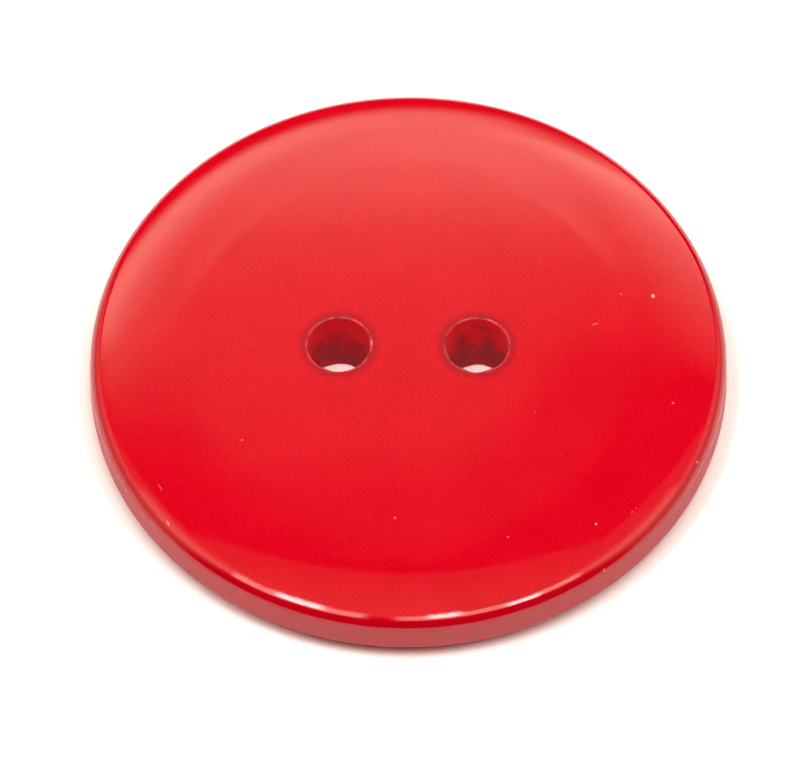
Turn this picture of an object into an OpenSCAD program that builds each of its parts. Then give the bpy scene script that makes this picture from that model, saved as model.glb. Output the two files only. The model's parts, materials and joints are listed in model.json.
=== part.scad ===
/* [Button] */
// Outer diameter of the button
button_d = 25.4; // [20:0.2:32]
// Height of the straight side wall, between the two rounded edges
wall_h = 0.88; // [0.4:0.02:2]

/* [Face] */
// Radius of the shallow crown over the middle of the face
crown_r = 150; // [80:5:300]
// Width of the shoulder, the outer ring where the face falls away to the rim
shoulder_w = 4.2; // [3:0.1:6]
// Radius of the shoulder
shoulder_r = 16; // [12:0.5:30]
// Rounding of the upper edge
edge_round = 0.62; // [0.2:0.02:0.8]

/* [Back] */
// Width of the ring that sweeps up from the flat seat to the rim
sweep_w = 8.2; // [4:0.1:9]
// Radius of the sweep
sweep_r = 43.5; // [20:0.5:60]
// Rounding of the lower edge
foot_round = 0.3; // [0.05:0.01:0.4]

/* [Thread holes] */
// Diameter of a thread hole
hole_d = 2.5; // [1.2:0.05:3.5]
// Distance between the centres of the two thread holes
hole_pitch = 5.5; // [4:0.1:8]
// Width of the bevel that breaks the edge of a thread hole, on the face and on the back
hole_bevel = 0.08; // [0.04:0.01:0.3]
// Slope of that bevel where it meets the face, in degrees
hole_bevel_lean = 45; // [30:1:60]

/* [Hidden] */
$fn = 180;

// How far a cutting shape runs past the surface that it cuts
overrun = 1;
// How far an arc stands proud of the one that it is tangent to, so that they cross in one clean line
blend = 0.0001;

button_r = button_d / 2;
hole_r = hole_d / 2;

// Back: the sweep is tangent to the seat, and the lower edge is tangent to the sweep and the wall
seat_r = button_r - sweep_w;
foot_x = button_r - foot_round;
foot_z = sweep_r - sqrt(pow(sweep_r - foot_round, 2) - pow(foot_x - seat_r, 2));
foot_lean = asin((foot_x - seat_r) / (sweep_r - foot_round));
sweep_end_x = seat_r + sweep_r * sin(foot_lean);

// Shoulder: it starts at the slope that the crown has there, and the upper edge is tangent to it
crown_end_x = button_r - shoulder_w;
crown_lean = asin(crown_end_x / crown_r);
shoulder_x = crown_end_x - shoulder_r * sin(crown_lean);
edge_x = button_r - edge_round;
edge_z = foot_z + wall_h;
edge_lean = asin((edge_x - shoulder_x) / (shoulder_r - edge_round));
shoulder_z = edge_z - (shoulder_r - edge_round) * cos(edge_lean);
shoulder_end_x = shoulder_x + shoulder_r * sin(edge_lean);

// Crown: its centre lies on the axis of the button, far below the shoulder's centre
button_h = shoulder_z + shoulder_r * cos(crown_lean) + crown_r * (1 - cos(crown_lean));

// Thread holes: a ball of this size, lifted off the surface, leaves a bevel of the given width
hole_face_z = button_h - crown_r + sqrt(pow(crown_r, 2) - pow(hole_pitch / 2, 2));
ball_r = (hole_r + hole_bevel) / sin(hole_bevel_lean);
ball_lift = ball_r * cos(hole_bevel_lean);

// The disc whose rim is one arc of the section, with its rank in the row of arcs out to the rim
module arc_disc(x, z, r, rank) {
    translate([x, z])
        circle(r = r + blend * rank);
}

// A rectangle of the section's plane, which runs past the section unless a limit is given
module zone(low = [-overrun, -overrun], high = [button_r + overrun, button_h + overrun]) {
    translate(low)
        square(high - low);
}

// Half of the button's cross-section: every arc trims what lies beyond the point where it starts
module half_section() {
    intersection() {
        zone(low = [0, 0], high = [button_r, button_h + overrun]);
        translate([0, button_h])
            translate([0, -crown_r])
                circle(r = crown_r);
        union() {
            arc_disc(shoulder_x, shoulder_z, shoulder_r, rank = 1);
            zone(high = [crown_end_x, button_h + overrun]);
        }
        union() {
            arc_disc(edge_x, edge_z, edge_round, rank = 2);
            zone(high = [shoulder_end_x, button_h + overrun]);
            zone(high = [button_r + overrun, edge_z]);
        }
        union() {
            arc_disc(seat_r, sweep_r, sweep_r, rank = 1);
            zone(high = [seat_r, button_h + overrun]);
        }
        union() {
            arc_disc(foot_x, foot_z, foot_round, rank = 2);
            zone(high = [sweep_end_x, button_h + overrun]);
            zone(low = [-overrun, foot_z]);
        }
    }
}

// One thread hole on its own axis: a bore, and a ball that breaks its edge on the back and on the face
module thread_hole() {
    translate([0, 0, -overrun])
        cylinder(r = hole_r, h = button_h + overrun * 2);
    for (z = [-ball_lift, hole_face_z + ball_lift])
        translate([0, 0, z])
            sphere(r = ball_r);
}

module button() {
    color("crimson")
        difference() {
            rotate_extrude()
                half_section();
            for (side = [-1, 1])
                translate([side * hole_pitch / 2, 0, 0])
                    thread_hole();
        }
}

button();
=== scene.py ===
"""A glossy red two-hole sewing button, lying on a white table in soft studio light."""

import json
import math

import bpy
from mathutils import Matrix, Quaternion, Vector, geometry, noise


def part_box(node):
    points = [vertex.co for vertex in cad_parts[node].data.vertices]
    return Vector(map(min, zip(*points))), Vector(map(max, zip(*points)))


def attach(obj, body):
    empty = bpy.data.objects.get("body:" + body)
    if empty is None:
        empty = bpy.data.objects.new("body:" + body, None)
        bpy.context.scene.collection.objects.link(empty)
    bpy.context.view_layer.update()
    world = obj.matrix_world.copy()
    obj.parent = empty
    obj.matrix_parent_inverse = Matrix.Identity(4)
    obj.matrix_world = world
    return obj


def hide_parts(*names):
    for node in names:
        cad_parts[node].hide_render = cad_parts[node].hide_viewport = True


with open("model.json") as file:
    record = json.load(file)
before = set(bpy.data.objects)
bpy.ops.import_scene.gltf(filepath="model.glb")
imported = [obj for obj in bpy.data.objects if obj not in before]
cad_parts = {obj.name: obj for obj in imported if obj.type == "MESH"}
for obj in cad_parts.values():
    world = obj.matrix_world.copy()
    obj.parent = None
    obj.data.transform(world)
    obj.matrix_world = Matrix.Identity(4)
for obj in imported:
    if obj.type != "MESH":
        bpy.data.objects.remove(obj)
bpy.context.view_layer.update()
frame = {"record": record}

MM = 0.001

# Section of the button, beside what the frame gives
CROWN_R = 150 * MM
SHOULDER_W = 4.2 * MM
SHOULDER_R = 16 * MM
EDGE_ROUND = 0.62 * MM
WALL_H = 0.88 * MM
FOOT_ROUND = 0.3 * MM
SWEEP_W = 8.2 * MM
SWEEP_R = 43.5 * MM

# Thread holes: the rounding of their edges, and how unevenly it is worn. The wear is a noise, read
# along a circle whose radius is a few patches, at one height for the crown and another for the seat
MOUTH_ROUND = 0.08 * MM
MOUTH_WEAR_SHARE = 0.3
MOUTH_WEAR_SIZE = 0.5 * MM
MOUTH_WEAR_PATCHES = 3
MOUTH_WEAR_Z = 1 * MM

# Fineness of the mesh
SEGMENTS = 360
HOLE_SEGMENTS = 120
HUB_R = 6 * MM
CROWN_STEPS = 8
SHOULDER_STEPS = 40
EDGE_STEPS = 24
WALL_STEPS = 4
FOOT_STEPS = 10
SWEEP_STEPS = 30
MOUTH_STEPS = 6
BORE_STEPS = 24

# Points that fill the crown's hub and the seat: rings close round each hole, and an even spread
FILL_SPACING = 0.4 * MM
FILL_HOLE_RINGS = 2
FILL_HOLE_STEP = 0.5 * FILL_SPACING
FILL_HOLE_GAP = 1.5 * FILL_SPACING
FILL_OUTER_GAP = 0.25 * FILL_SPACING
FILL_FEWEST = 6

# Blender's triangulation of a plan: how near two points count as one, and its number for all triangles
PLAN_TOLERANCE = 1e-9
ALL_TRIANGLES = 0

# Red plastic: a fine grain and soft clouds between a deeper and a lighter red, and smears in its gloss
RED_DEEP = (0.60, 0.0002, 0.010)
RED_LIGHT = (0.685, 0.0034, 0.019)
RED_TONES = (0.35, 0.65)
GRAIN_SIZE = 0.09 * MM
GRAIN_RELIEF = 0.0005 * MM
CLOUD_SIZE = 2.5 * MM
CLOUD_SHARE = 0.25
SMEAR_SIZE = 1.1 * MM
SMEAR_FADE = (0.3, 0.8)
GLOSS_ROUGHNESS = (0.024, 0.039)
SCATTER_DEPTH = 0.15 * MM
SCATTER_COLOUR = (1.0, 0.12, 0.1)
PLASTIC_IOR = 1.55

# The edge is a deeper red, which is painted shade, and the rim's wall and the back are duller and
# coarser than the face
EDGE_SHADE_RED = (0.51, 0.0006, 0.011)
EDGE_SHADE_FULL_Z = 2.36 * MM
EDGE_SHADE_START_Z = 2.50 * MM
DULL_Z = 1.95 * MM
POLISHED_Z = 2.10 * MM
DULL_ROUGHNESS = 0.5
DULL_GRAIN_GAIN = 2

# Thread holes: matt bores, mottled with dust, and darker towards the back, which is painted shade
BORE_RED = (0.92, 0.0004, 0.018)
BORE_SHADE_AND_DUST = (0.36, 0.003, 0.016)
BORE_FADE = (0.6, 1.0)
BORE_ROUGHNESS = 0.9
BORE_MOTTLE_SIZE = 0.6 * MM
BORE_MOTTLE_DETAIL = 4.0
BORE_MOTTLE_MIDDLE = 0.5
BORE_MOTTLE_SHARE = 2.0
BORE_SHADE_START_Z = 3.2 * MM
BORE_SHADE_FULL_Z = 0.4 * MM

# Edges of the holes: pale in patches, which is wear and a painted highlight, with a darker red round
# them, which is painted shade
WORN_HIGHLIGHT_PINK = (0.95, 0.035, 0.06)
WORN_HIGHLIGHT_FADE = (0.92, 1.0)
WORN_HIGHLIGHT_BORE_FADE = (0.95, 0.5)
WORN_ROUGHNESS = 0.4
WORN_PATCH_SIZE = 0.3 * MM
WORN_PATCH_FADE = (0.3, 0.6)
WORN_PATCH_SHARES = (0.4, 1.0)
# Painted shade: a darker red ring on the face round each hole
MOUTH_SHADE_RED = (0.37, 0.0006, 0.010)
MOUTH_SHADE_FADE = (0.0, 0.8)
MOUTH_SHADE_SHARE = 0.6
MOUTH_SHADE_W = 0.4 * MM

# Marks on the face, which fade out towards their own edge, and down the button's edge
MARK_PINK = (0.95, 0.42, 0.36)
MARK_FADE = (1.1, 0.5)
MARKS_LOW_Z = 1.3 * MM
MARKS_FULL_Z = 1.2 * MARKS_LOW_Z
# How often the search for a mark's place on the face is halved
FACE_HALVINGS = 24
# Pixel in the photograph's frame, length and width in millimetres, direction in degrees, and strength
MARKS = [
    (653, 296, 0.22, 0.16, 90, 1.0),
    (621, 294, 0.14, 0.10, -50, 0.3),
    (595, 324, 0.34, 0.06, 24, 0.4),
    (596, 524, 0.12, 0.10, 90, 0.9),
    (508, 537, 0.13, 0.12, 0, 0.35),
    (395, 518, 0.11, 0.10, 0, 0.5),
    (242, 440, 0.12, 0.10, 0, 0.4),
    (632, 512, 0.12, 0.07, 70, 0.35),
    (636, 508, 0.08, 0.06, 70, 0.25),
    (604, 570, 0.10, 0.08, 39, 0.6),
    (371, 343, 0.36, 0.14, 90, 0.6),
    (673, 403, 0.12, 0.10, 0, 0.5),
    (697, 462, 0.13, 0.10, 40, 0.5),
    (160, 487, 0.46, 0.06, -60, 0.2),
    (168, 523, 0.30, 0.08, -64, 0.6),
]

# Dust: tiny pale specks, one in a few cells, which fade out over the given shares of a cell
DUST_CELL = 1.6 * MM
DUST_FADE_SHARES = (0.04, 0.02)
DUST_CELLS_SHARE = 0.15
DUST_STRENGTH = 0.3

# The photograph's frame in pixels, and where the rim's upper edge lies in it
IMAGE_W = 800
IMAGE_H = 762
RIM_CENTRE_X = 408.3
RIM_CENTRE_Y = 365.0
PIXELS_PER_MM = 25.07

# Camera: distances in metres, and the sensor in millimetres as Blender has it
CAMERA_DISTANCE = 1.0
CAMERA_ELEVATION = math.radians(57.1)
CAMERA_AZIMUTH = math.radians(1.6)
CAMERA_ROLL = math.radians(-1.05)
CAMERA_CLIP_END = 10
SENSOR_W = 36

# Table: its size in metres, its paper as the light meets it, and as the camera sees it
TABLE_SIZE = 3.0
TABLE_DROP = 0.02 * MM
PAPER_WHITE = (0.85, 0.85, 0.85)
SEEN_WHITE = (1.14, 1.04, 1.12)

# Light of the studio, set out on a sphere of unit radius. Fades go from none to all
LIGHT_TINT = (1.0, 0.98, 0.76)
WHITE = (1.0, 1.0, 1.0)

# Back wall, going up from the far edge of the table:
# degrees, and the level on the left, in the middle and on the right
WALL_LEVELS = [
    (22, 0, 0, 0),
    (24, 0, 0, 0),
    (25, 0.05, 0.05, 0),
    (26, 0.7, 0.8, 0),
    (28, 2.9, 2.2, 0.7),
    (30, 3.4, 2.5, 1.7),
    (32, 3.1, 2.65, 4.0),
    (36, 2.1, 2.5, 2.8),
    (38, 1.75, 2.45, 2.2),
    (40, 1.5, 2.45, 1.9),
    (44, 1.0, 2.5, 1.35),
    (48, 0.92, 2.1, 0.85),
    (50.5, 0.85, 1.95, 0.6),
    (52.5, 0.7, 0.9, 0.4),
    (55, 0.58, 0.57, 0.24),
    (60.5, 0.26, 0.36, 0.13),
    (62.5, 0.13, 0.13, 0.1),
    (67, 0.04, 0.1, 0.02),
    (74, 0, 0.06, 0),
    (76.5, 0, 0, 0),
]
WALL_BRIGHTEST = 4.0
WALL_SHARE = 0.86
LEFT_FADE = (0.0, -0.25)
RIGHT_FADE = (0.04, 0.20)
WALL_END_FADE = (0.56, 0.44)
HALF_TURN = 180
RAMP_MIDDLE = 0.5

# How the wall's light slants, in degrees: high up it falls off sooner on the right, in two steps,
# and low down it lies higher on the left, with the square of the way out
RIGHT_SLANT = 6.5
RIGHT_SLANT_ACROSS = (0.0, 0.1)
FAR_RIGHT_SLANT = 6.0
FAR_RIGHT_SLANT_ACROSS = (0.26, 0.4)
RIGHT_SLANT_UP = (52.5, 57.5)
LEFT_SLANT = 71
LEFT_SLANT_UP = (60, 48)

# Ceiling at unit height: its far edge, which runs back on both sides, and its levels
CEILING_FAR = 0.20
CEILING_RIGHT_START = 0.33
CEILING_RIGHT_SLOPE = 1.2
CEILING_LEFT_START = 0.42
CEILING_LEFT_SLOPE = 1.4
CEILING_BLUR = 0.035
CEILING_DEPTH = 0.2
CEILING_LEVELS = (0.22, 0.43)
CEILING_FRONT_FADE = (-0.24, -0.14)
CEILING_LOW_FADE = (0.0, 0.7)
LEAST_HEIGHT = 0.05

# Soft light on both sides: from how far out it starts, where it ends in front, and its level
SIDE_FADE = (0.58, 0.70)
SIDE_FRONT_FADE = (-0.45, -0.25)
SIDE_LEVEL = 0.5

# Strip lamps, set out round an axis that points to the front: a lamp's place is the direction halfway
# between it and the axis. From and to sideways with their blur, from and to in degrees from upright
# with the blur of the first, and the level
LAMP_AXIS_ELEVATION = math.radians(57.7)
LAMP_AXIS_AZIMUTH = math.radians(1.6)
LAMP_NEAR_BLUR = 4.0
LAMP_FRONT_FADE = (0.0, -0.05)
LAMP_LEAST_FRONT = 0.02
LAMPS = [
    (-1.70, -0.62, 0.3, 16.7, 31, 1.0, 1.0),
    (-0.67, -0.13, 0.04, 16.9, 32, 0.2, 4.0),
    (-0.02, 0.69, 0.06, 17.2, 32, 0.2, 3.7),
    (0.66, 1.80, 0.3, 16.9, 32, 0.8, 0.9),
]
# The brightest lamps, whose light has no tint
WHITE_LAMPS = [
    (-0.46, -0.28, 0.04, 16.75, 28, 0.2, 13.0),
    (0.08, 0.185, 0.04, 16.8, 27, 0.2, 13.0),
    (0.355, 0.49, 0.04, 21.5, 32, 0.2, 13.0),
]


def section_sizes():
    """The sizes of the section that follow from the driving ones, by name."""
    low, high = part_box("button")
    rim = (high.x - low.x) / 2
    seat = rim - SWEEP_W
    foot_x = rim - FOOT_ROUND
    foot_z = SWEEP_R - math.sqrt((SWEEP_R - FOOT_ROUND) ** 2 - (foot_x - seat) ** 2)
    edge_x = rim - EDGE_ROUND
    edge_z = foot_z + WALL_H
    crown_end = rim - SHOULDER_W
    crown_lean = math.asin(crown_end / CROWN_R)
    shoulder_x = crown_end - SHOULDER_R * math.sin(crown_lean)
    edge_lean = math.asin((edge_x - shoulder_x) / (SHOULDER_R - EDGE_ROUND))
    return {
        "rim": rim,
        "top": high.z,
        "seat": seat,
        "foot": (foot_x, foot_z),
        "foot_lean": math.pi - math.asin((foot_x - seat) / (SWEEP_R - FOOT_ROUND)),
        "edge": (edge_x, edge_z),
        "edge_lean": edge_lean,
        "crown_lean": crown_lean,
        "shoulder": (shoulder_x, edge_z - (SHOULDER_R - EDGE_ROUND) * math.cos(edge_lean)),
    }


SIZES = section_sizes()


def crown_point(x, y):
    """The point of the crown above a place in the plan, and its normal."""
    centre_z = SIZES["top"] - CROWN_R
    point = Vector((x, y, centre_z + math.sqrt(CROWN_R ** 2 - x * x - y * y)))
    return point, (point - Vector((0, 0, centre_z))).normalized()


def seat_point(x, y):
    """The point of the flat seat below a place in the plan, and its normal."""
    return Vector((x, y, 0)), Vector((0, 0, -1))


def arc(centre, radius, start, end, steps):
    """Stations on an arc of the section: distance from the axis, height and lean of the normal."""
    centre_x, centre_z = centre
    stations = []
    for step in range(1, steps + 1):
        lean = start + (end - start) * step / steps
        stations.append((centre_x + radius * math.sin(lean), centre_z + radius * math.cos(lean), lean))
    return stations


def section():
    """The section from the hub, over the shoulder, the edge, the wall and the sweep, to the seat."""
    crown_centre = (0, SIZES["top"] - CROWN_R)
    hub_lean = math.asin(HUB_R / CROWN_R)
    crown_lean = SIZES["crown_lean"]
    edge_lean = SIZES["edge_lean"]
    foot_lean = SIZES["foot_lean"]
    upright = math.pi / 2
    stations = arc(crown_centre, CROWN_R, hub_lean, hub_lean, 1)
    stations += arc(crown_centre, CROWN_R, hub_lean, crown_lean, CROWN_STEPS)
    stations += arc(SIZES["shoulder"], SHOULDER_R, crown_lean, edge_lean, SHOULDER_STEPS)
    stations += arc(SIZES["edge"], EDGE_ROUND, edge_lean, upright, EDGE_STEPS)
    for step in range(1, WALL_STEPS + 1):
        stations.append((SIZES["rim"], SIZES["edge"][1] - WALL_H * step / WALL_STEPS, upright))
    stations += arc(SIZES["foot"], FOOT_ROUND, upright, foot_lean, FOOT_STEPS)
    stations += arc((SIZES["seat"], SWEEP_R), SWEEP_R, foot_lean, math.pi, SWEEP_STEPS)
    return stations


class Surface:
    """Points with normals, faces, and how far each point is drilled or near the edge of a hole."""

    def __init__(self):
        self.points = []
        self.normals = []
        self.faces = []
        self.drilled = []
        self.worn = []

    def add(self, point, normal, drilled=0.0, worn=0.0):
        """Adds a point and returns its number."""
        self.points.append(point)
        self.normals.append(normal)
        self.drilled.append(drilled)
        self.worn.append(worn)
        return len(self.points) - 1

    def bridge(self, upper, lower):
        """Joins two rings of as many points with a row of faces, which look outward from the axis."""
        for i, start in enumerate(upper):
            j = (i + 1) % len(upper)
            self.faces.append((start, lower[i], lower[j], upper[j]))

    def mesh(self, name):
        """The surface as a mesh, smooth by its own normals."""
        made = bpy.data.meshes.new(name)
        made.from_pydata(self.points, [], self.faces)
        for layer, values in (("drilled", self.drilled), ("worn", self.worn)):
            made.attributes.new(layer, "FLOAT", "POINT").data.foreach_set("value", values)
        made.shade_smooth()
        made.normals_split_custom_set_from_vertices(self.normals)
        made.validate()
        return made


def around(count):
    """Evenly spread directions in the plan."""
    turns = [2 * math.pi * i / count for i in range(count)]
    return [Vector((math.cos(turn), math.sin(turn), 0)) for turn in turns]


def turned_rings(surface):
    """The rings of the turned body. Returns the first, on the crown, and the last, round the seat."""
    rings = []
    for radius, height, lean in section():
        ring = []
        for out in around(SEGMENTS):
            point = out * radius + Vector((0, 0, height))
            ring.append(surface.add(point, out * math.sin(lean) + Vector((0, 0, math.cos(lean)))))
        rings.append(ring)
    for upper, lower in zip(rings, rings[1:]):
        surface.bridge(upper, lower)
    return rings[0], rings[-1]


def mouth_round(centre, out, side):
    """The rounding of a hole's edge at one place, which wear makes uneven."""
    on_circle = centre + out * MOUTH_WEAR_SIZE * MOUTH_WEAR_PATCHES
    place = (on_circle + Vector((0, 0, side * MOUTH_WEAR_Z))) / MOUTH_WEAR_SIZE
    return MOUTH_ROUND * (1 + MOUTH_WEAR_SHARE * noise.noise(place))


def mouth_rings(surface, centre, hole_r, face_point, side):
    """The rounded edge of a hole, from face to bore. side is 1 on the crown and -1 on the seat."""
    rings = [[] for step in range(MOUTH_STEPS + 1)]
    for out in around(HOLE_SEGMENTS):
        width = mouth_round(centre, out, side)
        start = centre + out * (hole_r + width)
        on_face, face_normal = face_point(start.x, start.y)
        pivot = on_face - Vector((0, 0, side * width))
        for step, ring in enumerate(rings):
            turn = math.pi / 2 * step / MOUTH_STEPS
            lift = Vector((0, 0, side * math.cos(turn)))
            point = pivot + (lift - out * math.sin(turn)) * width
            normal = (face_normal * math.cos(turn) - out * math.sin(turn)).normalized()
            ring.append(surface.add(point, normal, step / MOUTH_STEPS, 1.0))
    return rings


def drill(surface, centre, hole_r):
    """One thread hole. Returns its edge on the crown and its edge on the seat."""
    upper = mouth_rings(surface, centre, hole_r, crown_point, 1)
    lower = mouth_rings(surface, centre, hole_r, seat_point, -1)
    rows = list(upper)
    for row in range(1, BORE_STEPS):
        share = row / BORE_STEPS
        ring = []
        for i, out in enumerate(around(HOLE_SEGMENTS)):
            high = surface.points[upper[-1][i]]
            low = surface.points[lower[-1][i]]
            ring.append(surface.add(high.lerp(low, share), -out, 1.0))
        rows.append(ring)
    rows += reversed(lower)
    for above, below in zip(rows, rows[1:]):
        surface.bridge(below, above)
    return upper[0], lower[0]


def hole_gap(spot, holes):
    """How far a place in the plan lies from the nearest edge of a hole."""
    return min((spot - centre).length - hole_r for centre, hole_r in holes) - MOUTH_ROUND


def fill_plan(outer_r, holes):
    """Places in the plan, inside a circle and clear of the holes, that keep the triangles even."""
    places = []
    for centre, hole_r in holes:
        for count in range(1, FILL_HOLE_RINGS + 1):
            reach = hole_r + MOUTH_ROUND + FILL_HOLE_STEP * count
            places += [centre + out * reach for out in around(HOLE_SEGMENTS // 2 ** count)]
    radius = outer_r - FILL_SPACING
    while radius > 0:
        for out in around(max(FILL_FEWEST, int(2 * math.pi * radius / FILL_SPACING))):
            spot = out * radius
            if hole_gap(spot, holes) > FILL_HOLE_GAP:
                places.append(spot)
        radius -= FILL_SPACING
    return [spot for spot in places if spot.length < outer_r - FILL_OUTER_GAP]


def cover(surface, outer, mouths, holes, face_point, facing_up):
    """The crown's hub or the seat: the face between an outer ring and the edges of the holes."""
    outer_r = surface.points[outer[0]].xy.length
    loops = [outer] + mouths
    known = [index for loop in loops for index in loop]
    for spot in fill_plan(outer_r, holes):
        point, normal = face_point(spot.x, spot.y)
        known.append(surface.add(point, normal, worn=max(0.0, 1 - hole_gap(spot, holes) / MOUTH_SHADE_W)))
    edges = []
    first = 0
    for loop in loops:
        count = len(loop)
        edges += [(first + i, first + (i + 1) % count) for i in range(count)]
        first += count
    plan = [surface.points[index].xy for index in known]
    _, _, triangles, *_ = geometry.delaunay_2d_cdt(plan, edges, [], ALL_TRIANGLES, PLAN_TOLERANCE)
    for triangle in triangles:
        middle = sum((plan[i] for i in triangle), Vector((0, 0))) / len(triangle)
        if all((middle - centre.xy).length > hole_r for centre, hole_r in holes):
            corners = [known[i] for i in triangle]
            surface.faces.append(corners if facing_up else corners[::-1])


def button_mesh():
    """The button's body, with the thread holes where the frame has its bores."""
    holes = []
    for mount in frame["record"]["mounts"]:
        if mount["kind"] == "bore":
            x, y, _ = mount["pos_m"]
            holes.append((Vector((x, y, 0)), mount["dims"]["r_mm"] * MM))
    surface = Surface()
    hub, seat = turned_rings(surface)
    mouths = [drill(surface, *hole) for hole in holes]
    cover(surface, hub, [upper for upper, _ in mouths], holes, crown_point, True)
    cover(surface, seat, [lower for _, lower in mouths], holes, seat_point, False)
    return surface.mesh("button_body")


class Nodes:
    """Short names for making and joining the nodes of one tree."""

    def __init__(self, tree):
        self.tree = tree
        tree.nodes.clear()

    def new(self, kind, **settings):
        """A node of a kind, with its settings by name."""
        node = self.tree.nodes.new(kind)
        for name, value in settings.items():
            setattr(node, name, value)
        return node

    def put(self, value, socket):
        """Sets a socket to a number or colour, or joins another node's output to it."""
        if isinstance(value, bpy.types.NodeSocket):
            self.tree.links.new(value, socket)
        else:
            socket.default_value = value

    def split(self, vector):
        """The three parts of a vector."""
        node = self.new("ShaderNodeSeparateXYZ")
        self.put(vector, node.inputs[0])
        return node.outputs

    def math(self, operation, a, b=0.0, clamp=False):
        """What an operation makes of one or two numbers."""
        node = self.new("ShaderNodeMath", operation=operation, use_clamp=clamp)
        self.put(a, node.inputs[0])
        self.put(b, node.inputs[1])
        return node.outputs[0]

    def ramp(self, value, low, high, start=0.0, end=1.0):
        """A smooth step of a value between two levels."""
        node = self.new("ShaderNodeMapRange", interpolation_type="SMOOTHSTEP")
        for socket, given in zip(node.inputs, (value, low, high, start, end)):
            self.put(given, socket)
        return node.outputs[0]

    def blend(self, share, a, b):
        """One number that goes over to another."""
        node = self.new("ShaderNodeMix", data_type="FLOAT")
        self.put(share, node.inputs[0])
        self.put(a, node.inputs[2])
        self.put(b, node.inputs[3])
        return node.outputs[0]

    def mix(self, share, a, b):
        """One colour that goes over to another."""
        node = self.new("ShaderNodeMix", data_type="RGBA")
        self.put(share, node.inputs[0])
        self.put(a, node.inputs[6])
        self.put(b, node.inputs[7])
        return node.outputs[2]

    def noise(self, place, size, detail=2.0):
        """A soft noise with patches of about the given size."""
        node = self.new("ShaderNodeTexNoise")
        self.put(place, node.inputs["Vector"])
        node.inputs["Scale"].default_value = 1 / size
        node.inputs["Detail"].default_value = detail
        return node.outputs["Fac"]

    def background(self, colour, strength):
        """Light of one colour from all round."""
        node = self.new("ShaderNodeBackground")
        node.inputs["Color"].default_value = (*colour, 1)
        self.put(strength, node.inputs["Strength"])
        return node.outputs[0]


def new_material(name):
    """A material, its empty nodes, and the socket that takes its surface."""
    material = bpy.data.materials.new(name)
    material.use_nodes = True
    nodes = Nodes(material.node_tree)
    return material, nodes, nodes.new("ShaderNodeOutputMaterial").inputs["Surface"]


def grainy_red(nodes, place):
    """The red of the face, between its deeper and its lighter tone. Also returns the grain itself."""
    grain = nodes.noise(place, GRAIN_SIZE)
    tone = nodes.blend(CLOUD_SHARE, grain, nodes.noise(place, CLOUD_SIZE))
    return nodes.mix(nodes.ramp(tone, *RED_TONES), (*RED_DEEP, 1), (*RED_LIGHT, 1)), grain


def bore_red(nodes, place, z):
    """The red inside a thread hole, mottled with dust, and darker towards the back with painted shade.
    """
    mottle = nodes.noise(place, BORE_MOTTLE_SIZE, BORE_MOTTLE_DETAIL)
    mottle = nodes.math("SUBTRACT", mottle, BORE_MOTTLE_MIDDLE)
    # Painted shade: the bore goes darker with depth
    depth = nodes.ramp(z, BORE_SHADE_START_Z, BORE_SHADE_FULL_Z)
    shade_and_dust = nodes.math("ADD", depth, nodes.math("MULTIPLY", mottle, BORE_MOTTLE_SHARE), clamp=True)
    return nodes.mix(shade_and_dust, (*BORE_RED, 1), (*BORE_SHADE_AND_DUST, 1))


def worn_highlight_share(nodes, place, worn, drilled):
    """How far each place is the pale edge of a hole: wear together with a painted highlight."""
    patch = nodes.ramp(nodes.noise(place, WORN_PATCH_SIZE), *WORN_PATCH_FADE, *WORN_PATCH_SHARES)
    edge = nodes.math("MULTIPLY", nodes.ramp(worn, *WORN_HIGHLIGHT_FADE), nodes.ramp(drilled, *WORN_HIGHLIGHT_BORE_FADE))
    return nodes.math("MULTIPLY", edge, patch)


def face_height(radius):
    """The height of the face at a distance from the axis, as if it had no holes."""
    shoulder_x, shoulder_z = SIZES["shoulder"]
    edge_x, edge_z = SIZES["edge"]
    if radius < CROWN_R * math.sin(SIZES["crown_lean"]):
        return crown_point(radius, 0)[0].z
    if radius < shoulder_x + SHOULDER_R * math.sin(SIZES["edge_lean"]):
        return shoulder_z + math.sqrt(SHOULDER_R ** 2 - (radius - shoulder_x) ** 2)
    return edge_z + math.sqrt(max(0, EDGE_ROUND ** 2 - (radius - edge_x) ** 2))


def place_on_face(pixel_x, pixel_y):
    """The place in the plan of what a pixel of the photograph shows of the face."""
    view = bpy.context.scene.camera
    right = (pixel_x - IMAGE_W / 2) * MM / PIXELS_PER_MM
    up = (IMAGE_H / 2 - pixel_y) * MM / PIXELS_PER_MM
    ray = view.rotation_quaternion @ Vector((right, up, -CAMERA_DISTANCE))
    low = SIZES["edge"][1]
    high = SIZES["top"]
    for _ in range(FACE_HALVINGS):
        z = (low + high) / 2
        spot = view.location + ray * ((z - view.location.z) / ray.z)
        if z > face_height(spot.xy.length):
            high = z
        else:
            low = z
    return spot.xy


def mark_share(nodes, place, mark):
    """How far each place is covered by one mark, which is an ellipse in the plan."""
    pixel_x, pixel_y, length, width, degrees, strength = mark
    spot = nodes.new("ShaderNodeMapping", vector_type="TEXTURE")
    nodes.put(place, spot.inputs["Vector"])
    spot.inputs["Location"].default_value = (*place_on_face(pixel_x, pixel_y), 0)
    spot.inputs["Rotation"].default_value = (0, 0, math.radians(degrees))
    spot.inputs["Scale"].default_value = (length * MM / 2, width * MM / 2, 1)
    reach = nodes.new("ShaderNodeVectorMath", operation="LENGTH")
    nodes.put(spot.outputs[0], reach.inputs[0])
    return nodes.ramp(reach.outputs["Value"], *MARK_FADE, 0, strength)


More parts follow.
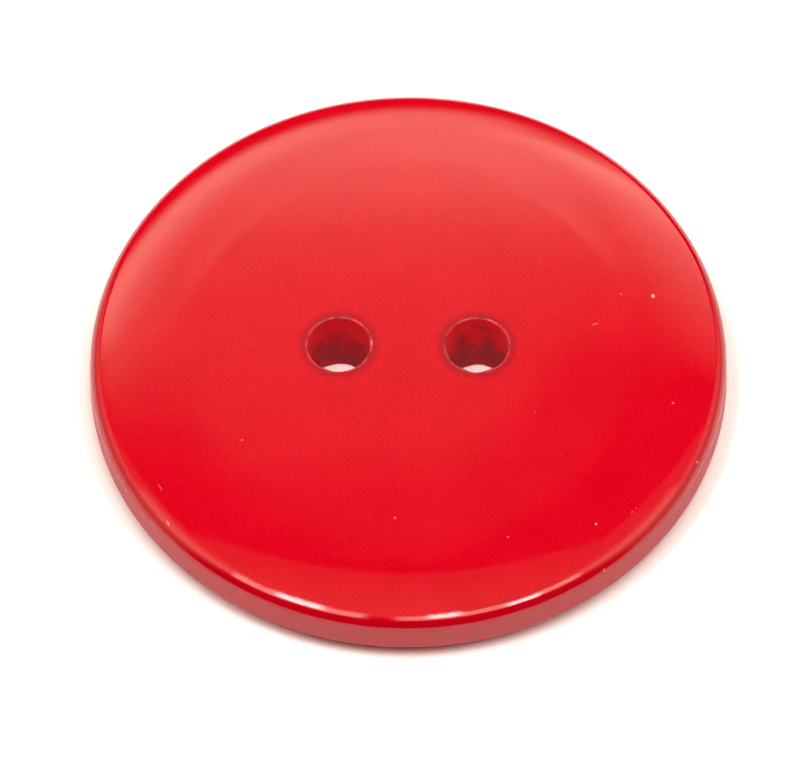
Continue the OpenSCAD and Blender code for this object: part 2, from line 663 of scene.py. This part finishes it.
def dust_share(nodes, place):
    """How far each place is covered by a speck of dust."""
    cells = nodes.new("ShaderNodeTexVoronoi")
    nodes.put(place, cells.inputs["Vector"])
    cells.inputs["Scale"].default_value = 1 / DUST_CELL
    speck = nodes.ramp(cells.outputs["Distance"], *DUST_FADE_SHARES, 0, DUST_STRENGTH)
    chosen = nodes.math("LESS_THAN", cells.outputs["Color"], DUST_CELLS_SHARE)
    return nodes.math("MULTIPLY", speck, chosen)


def marks_share(nodes, place, z, bore):
    """How far each place outside the bores is covered by a mark or a speck of dust."""
    share = 0.0
    for mark in MARKS:
        share = nodes.math("MAXIMUM", mark_share(nodes, place, mark), share)
    share = nodes.math("MULTIPLY", share, nodes.ramp(z, MARKS_LOW_Z, MARKS_FULL_Z))
    share = nodes.math("MAXIMUM", share, dust_share(nodes, place))
    return nodes.math("MULTIPLY", share, nodes.math("SUBTRACT", 1.0, bore))


def plastic_roughness(nodes, place, dull, bore, pale):
    """The roughness of the plastic: smears in the gloss, and duller stretches."""
    rough = nodes.ramp(nodes.noise(place, SMEAR_SIZE), *SMEAR_FADE, *GLOSS_ROUGHNESS)
    rough = nodes.blend(dull, rough, DULL_ROUGHNESS)
    rough = nodes.blend(bore, rough, BORE_ROUGHNESS)
    return nodes.blend(pale, rough, WORN_ROUGHNESS)


def grain_relief(nodes, grain, dull):
    """The fine relief of the grain, coarser where the plastic is dull."""
    relief = nodes.new("ShaderNodeBump")
    relief.inputs["Distance"].default_value = GRAIN_RELIEF
    height = nodes.math("MULTIPLY", grain, nodes.blend(dull, 1.0, DULL_GRAIN_GAIN))
    nodes.put(height, relief.inputs["Height"])
    return relief.outputs[0]


def red_plastic():
    """The button's plastic, with the marks of its making and use."""
    material, nodes, surface = new_material("red_plastic")
    place = nodes.new("ShaderNodeTexCoord").outputs["Object"]
    _, _, z = nodes.split(place)
    drilled = nodes.new("ShaderNodeAttribute", attribute_name="drilled").outputs["Fac"]
    worn = nodes.new("ShaderNodeAttribute", attribute_name="worn").outputs["Fac"]
    dull = nodes.ramp(z, POLISHED_Z, DULL_Z)
    bore = nodes.ramp(drilled, *BORE_FADE)
    edge = worn_highlight_share(nodes, place, worn, drilled)
    marks = marks_share(nodes, place, z, bore)

    red, grain = grainy_red(nodes, place)
    # Painted shade: below the shoulder the edge, the wall and the back go over to a deeper red
    red = nodes.mix(nodes.ramp(z, EDGE_SHADE_START_Z, EDGE_SHADE_FULL_Z), red, (*EDGE_SHADE_RED, 1))
    # Painted shade: a darker red ring round the mouths of the holes
    red = nodes.mix(nodes.ramp(worn, *MOUTH_SHADE_FADE, 0, MOUTH_SHADE_SHARE), red, (*MOUTH_SHADE_RED, 1))
    red = nodes.mix(bore, red, bore_red(nodes, place, z))
    # Wear and a painted highlight: a pale pink on the edges of the holes
    red = nodes.mix(edge, red, (*WORN_HIGHLIGHT_PINK, 1))
    red = nodes.mix(marks, red, (*MARK_PINK, 1))
    rough = plastic_roughness(nodes, place, dull, bore, nodes.math("MAXIMUM", edge, marks))

    plastic = nodes.new("ShaderNodeBsdfPrincipled")
    nodes.put(red, plastic.inputs["Base Color"])
    nodes.put(rough, plastic.inputs["Roughness"])
    nodes.put(grain_relief(nodes, grain, dull), plastic.inputs["Normal"])
    plastic.inputs["IOR"].default_value = PLASTIC_IOR
    plastic.inputs["Subsurface Weight"].default_value = 1.0
    plastic.inputs["Subsurface Radius"].default_value = SCATTER_COLOUR
    plastic.inputs["Subsurface Scale"].default_value = SCATTER_DEPTH
    nodes.put(plastic.outputs[0], surface)
    return material


def table_paper():
    """White paper, which the camera and mirror reflections see as plain white outside the shadow."""
    material, nodes, surface = new_material("table_paper")
    paper = nodes.new("ShaderNodeBsdfDiffuse")
    path = nodes.new("ShaderNodeLightPath").outputs
    seen = nodes.math("MAXIMUM", path["Is Camera Ray"], path["Is Glossy Ray"])
    seen = nodes.math("MAXIMUM", seen, path["Is Transmission Ray"])
    nodes.put(nodes.mix(seen, (*PAPER_WHITE, 1), (*SEEN_WHITE, 1)), paper.inputs["Color"])
    nodes.put(paper.outputs[0], surface)
    return material


def towards(azimuth, elevation):
    """The direction from the button to the front, turned to the right and up by two angles."""
    flat = math.cos(elevation)
    return Vector((math.sin(azimuth) * flat, -math.cos(azimuth) * flat, math.sin(elevation)))


def wall_turn(nodes, x, y, z):
    """The angle up from the far edge of the table, in degrees, with the slant of the wall's light."""
    turn = nodes.math("DEGREES", nodes.math("ARCTAN2", z, y))
    right_slant = nodes.math(
        "ADD",
        nodes.ramp(x, *RIGHT_SLANT_ACROSS, 0, RIGHT_SLANT),
        nodes.ramp(x, *FAR_RIGHT_SLANT_ACROSS, 0, FAR_RIGHT_SLANT),
    )
    right_slant = nodes.math("MULTIPLY", right_slant, nodes.ramp(turn, *RIGHT_SLANT_UP))
    way_left = nodes.math("MINIMUM", x, 0)
    left_slant = nodes.math(
        "MULTIPLY",
        nodes.math("MULTIPLY", way_left, way_left),
        nodes.ramp(turn, *LEFT_SLANT_UP, 0, LEFT_SLANT),
    )
    return nodes.math("SUBTRACT", nodes.math("ADD", turn, right_slant), left_slant)


def wall_level(nodes, x, y, z):
    """The back wall: levels by the slanted angle up from the table, which change from side to side."""
    wall = nodes.new("ShaderNodeValToRGB")
    stops = wall.color_ramp.elements
    while len(stops) < len(WALL_LEVELS):
        stops.new(RAMP_MIDDLE)
    for stop, (degrees, *levels) in zip(stops, WALL_LEVELS):
        stop.position = degrees / HALF_TURN
        stop.color = (*[level / WALL_BRIGHTEST for level in levels], 1)
    nodes.put(nodes.math("DIVIDE", wall_turn(nodes, x, y, z), HALF_TURN), wall.inputs["Fac"])
    thirds = nodes.new("ShaderNodeSeparateColor")
    nodes.put(wall.outputs["Color"], thirds.inputs[0])
    left, middle, right = thirds.outputs
    level = nodes.blend(nodes.ramp(x, *LEFT_FADE), middle, left)
    level = nodes.blend(nodes.ramp(x, *RIGHT_FADE), level, right)
    inside = nodes.ramp(nodes.math("ABSOLUTE", x), *WALL_END_FADE, 0, WALL_BRIGHTEST * WALL_SHARE)
    return nodes.math("MULTIPLY", level, inside)


def ceiling_level(nodes, x, y, z):
    """The ceiling, brighter away from its far edge."""
    height = nodes.math("MAXIMUM", z, LEAST_HEIGHT)
    across = nodes.math("DIVIDE", x, height)
    along = nodes.math("DIVIDE", y, height)
    far = CEILING_FAR
    for sign, start, slope in (
        (1, CEILING_RIGHT_START, CEILING_RIGHT_SLOPE),
        (-1, CEILING_LEFT_START, CEILING_LEFT_SLOPE),
    ):
        past = nodes.math("SUBTRACT", nodes.math("MULTIPLY", across, sign), start)
        run = nodes.math("MULTIPLY", nodes.math("MAXIMUM", past, 0), slope)
        far = nodes.math("ADD", run, far)
    inward = nodes.math("SUBTRACT", far, along)
    level = nodes.ramp(inward, 0, CEILING_DEPTH, *CEILING_LEVELS)
    for value, fade in (
        (inward, (-CEILING_BLUR / 2, CEILING_BLUR / 2)),
        (y, CEILING_FRONT_FADE),
        (z, CEILING_LOW_FADE),
    ):
        level = nodes.math("MULTIPLY", level, nodes.ramp(value, *fade))
    return level


def side_level(nodes, x, y):
    """The soft light on both sides, which ends before the front."""
    out = nodes.ramp(nodes.math("ABSOLUTE", x), *SIDE_FADE, 0, SIDE_LEVEL)
    return nodes.math("MULTIPLY", out, nodes.ramp(y, *SIDE_FRONT_FADE))


def lamps_map(nodes, direction):
    """A direction's place on the lamps' map: sideways, degrees from upright, and how far in front."""
    halfway = nodes.new("ShaderNodeVectorMath", operation="ADD")
    nodes.put(direction, halfway.inputs[0])
    nodes.put(towards(LAMP_AXIS_AZIMUTH, LAMP_AXIS_ELEVATION), halfway.inputs[1])
    x, y, z = nodes.split(halfway.outputs[0])
    front = nodes.math("MAXIMUM", nodes.math("MULTIPLY", y, -1), LAMP_LEAST_FRONT)
    out = nodes.math("SQRT", nodes.math("ADD", nodes.math("POWER", x, 2), nodes.math("POWER", y, 2)))
    lean = nodes.math("DEGREES", nodes.math("ARCTAN2", out, z))
    return nodes.math("DIVIDE", x, front), lean, nodes.ramp(y, *LAMP_FRONT_FADE)


def lamp_level(nodes, sideways, lean, lamp):
    """One strip lamp, as a soft-edged window on the lamps' map."""
    left, right, side_blur, far, near, far_blur, level = lamp
    for value, edge, blur in (
        (sideways, left, side_blur),
        (sideways, right, -side_blur),
        (lean, far, far_blur),
        (lean, near, -LAMP_NEAR_BLUR),
    ):
        level = nodes.math("MULTIPLY", nodes.ramp(value, edge - blur / 2, edge + blur / 2), level)
    return level


def lamps_level(nodes, place, lamps):
    """All lamps of a list together, at a place on their map."""
    sideways, lean, in_front = place
    level = 0.0
    for lamp in lamps:
        level = nodes.math("ADD", lamp_level(nodes, sideways, lean, lamp), level)
    return nodes.math("MULTIPLY", level, in_front)


def studio():
    """The light: a bright back wall, a dim ceiling and sides, and strip lamps in a dark front.

    The camera itself sees plain white all round.
    """
    world = bpy.data.worlds.new("studio")
    world.use_nodes = True
    nodes = Nodes(world.node_tree)
    out = nodes.new("ShaderNodeOutputWorld")
    direction = nodes.new("ShaderNodeTexCoord").outputs["Generated"]
    x, y, z = nodes.split(direction)
    place = lamps_map(nodes, direction)
    level = wall_level(nodes, x, y, z)
    level = nodes.math("ADD", level, ceiling_level(nodes, x, y, z))
    level = nodes.math("ADD", level, side_level(nodes, x, y))
    level = nodes.math("ADD", level, lamps_level(nodes, place, LAMPS))
    light = nodes.new("ShaderNodeAddShader")
    nodes.put(nodes.background(LIGHT_TINT, level), light.inputs[0])
    nodes.put(nodes.background(WHITE, lamps_level(nodes, place, WHITE_LAMPS)), light.inputs[1])
    path = nodes.new("ShaderNodeLightPath").outputs
    shown = nodes.new("ShaderNodeMixShader")
    nodes.put(path["Is Camera Ray"], shown.inputs[0])
    nodes.put(light.outputs[0], shown.inputs[1])
    nodes.put(nodes.background(WHITE, 1.0), shown.inputs[2])
    nodes.put(shown.outputs[0], out.inputs["Surface"])
    bpy.context.scene.world = world


def add_object(name, data):
    """An object in the scene for a mesh or a camera."""
    made = bpy.data.objects.new(name, data)
    bpy.context.scene.collection.objects.link(made)
    return made


def table():
    """The table's top, a hair below the button's seat."""
    half = TABLE_SIZE / 2
    corners = [(-half, -half), (half, -half), (half, half), (-half, half)]
    mesh = bpy.data.meshes.new("table")
    mesh.from_pydata([(x, y, -TABLE_DROP) for x, y in corners], [], [(0, 1, 2, 3)])
    mesh.materials.append(table_paper())
    top = add_object("table", mesh)


def camera():
    """The camera, aimed so that the rim's upper edge lies where the photograph has it."""
    lens = bpy.data.cameras.new("camera")
    lens.sensor_width = SENSOR_W
    lens.lens = SENSOR_W * CAMERA_DISTANCE * PIXELS_PER_MM / (IMAGE_W * MM)
    lens.clip_end = CAMERA_CLIP_END
    back = towards(CAMERA_AZIMUTH, CAMERA_ELEVATION)
    turn = (-back).to_track_quat("-Z", "Y") @ Quaternion((0, 0, 1), CAMERA_ROLL)
    right = (IMAGE_W / 2 - RIM_CENTRE_X) * MM / PIXELS_PER_MM
    up = (RIM_CENTRE_Y - IMAGE_H / 2) * MM / PIXELS_PER_MM
    target = Vector((0, 0, SIZES["edge"][1])) + turn @ Vector((right, up, 0))
    made = add_object("camera", lens)
    made.rotation_mode = "QUATERNION"
    made.rotation_quaternion = turn
    made.location = target + back * CAMERA_DISTANCE
    bpy.context.scene.camera = made


def button():
    """The button, in place of its CAD solid."""
    mesh = button_mesh()
    mesh.materials.append(red_plastic())
    body = add_object("button_body", mesh)
    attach(body, "root")
    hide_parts("button")


camera()
button()
table()
studio()
bpy.context.scene.view_settings.view_transform = "Standard"
